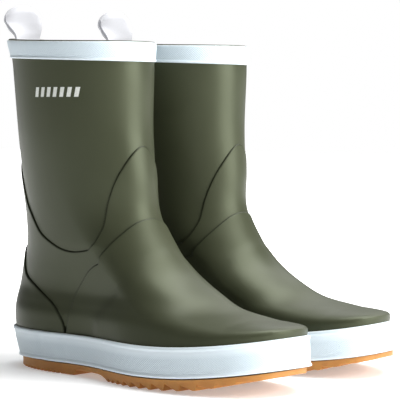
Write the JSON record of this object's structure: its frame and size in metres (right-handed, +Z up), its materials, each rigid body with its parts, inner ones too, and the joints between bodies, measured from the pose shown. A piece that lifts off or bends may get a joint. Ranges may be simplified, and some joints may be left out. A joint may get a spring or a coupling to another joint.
{
  "type": "deck boots",
  "caption": "Pair of calf-height rubber deck boots with a foxing strip, a moulded tread, a rim band and a pull tab at the back of each mouth.",
  "frame": {"origin": "on the ground under the middle of the pair, at the centre of its bounding box", "axes": "+Z up, toes towards -Y, the wearer's right boot at -X and the left boot at +X"},
  "size_m": [0.2392, 0.31, 0.3105],
  "materials": {
    "olive_rubber": "matt to satin olive green sheet rubber",
    "pale_rubber": "satin pale ice-blue rubber with a fine diagonal emboss",
    "gum_rubber": "matt amber gum rubber",
    "filler_rubber": "blown rubber filler",
    "insole_board": "pressed fibre board",
    "footbed": "foam footbed with a knitted top",
    "jersey": "knitted cotton jersey lining",
    "tab_tape": "soft white woven tape"
  },
  "bodies": {
    "right_boot": {"right_outsole": "gum_rubber", "right_midsole": "filler_rubber", "right_insole_board": "insole_board", "right_lining": "jersey", "right_upper": "olive_rubber", "right_forefoot_underlay": "olive_rubber", "right_toe_puff": "olive_rubber", "right_ankle_wing": "olive_rubber", "right_heel_counter": "olive_rubber", "right_vamp": "olive_rubber", "right_foxing": "pale_rubber", "right_rim_band": "pale_rubber", "right_tab_patch": "tab_tape"},
    "right_insert": {"right_footbed": "footbed"},
    "right_tab": {"right_pull_tab": "tab_tape"},
    "left_boot": {"left_outsole": "gum_rubber", "left_midsole": "filler_rubber", "left_insole_board": "insole_board", "left_lining": "jersey", "left_upper": "olive_rubber", "left_forefoot_underlay": "olive_rubber", "left_toe_puff": "olive_rubber", "left_ankle_wing": "olive_rubber", "left_heel_counter": "olive_rubber", "left_vamp": "olive_rubber", "left_foxing": "pale_rubber", "left_rim_band": "pale_rubber", "left_tab_patch": "tab_tape"},
    "left_insert": {"left_footbed": "footbed"},
    "left_tab": {"left_pull_tab": "tab_tape"}
  },
  "joints": [
    {"name": "left_boot_lift", "type": "slide", "parent": "right_boot", "child": "left_boot", "axis": [0, 0, 1], "range_m": [0, 0.35]},
    {"name": "right_tab_fold", "type": "hinge", "parent": "right_boot", "child": "right_tab", "pos_m": [-0.05395, 0.13885, 0.286], "axis": [0.9973, -0.0732, 0], "range_deg": [-25, 55], "stiffness_Nm_per_rad": 0.004},
    {"name": "right_footbed_lift", "type": "hinge", "parent": "right_boot", "child": "right_insert", "pos_m": [-0.07439, -0.1395, 0.0324], "axis": [0.9973, -0.0732, 0], "range_deg": [0, 3]},
    {"name": "left_tab_fold", "type": "hinge", "parent": "left_boot", "child": "left_tab", "pos_m": [0.05395, 0.13885, 0.286], "axis": [0.9973, 0.0732, 0], "range_deg": [-25, 55], "stiffness_Nm_per_rad": 0.004},
    {"name": "left_footbed_lift", "type": "hinge", "parent": "left_boot", "child": "left_insert", "pos_m": [0.07439, -0.1395, 0.0324], "axis": [0.9973, 0.0732, 0], "range_deg": [0, 3]}
  ]
}
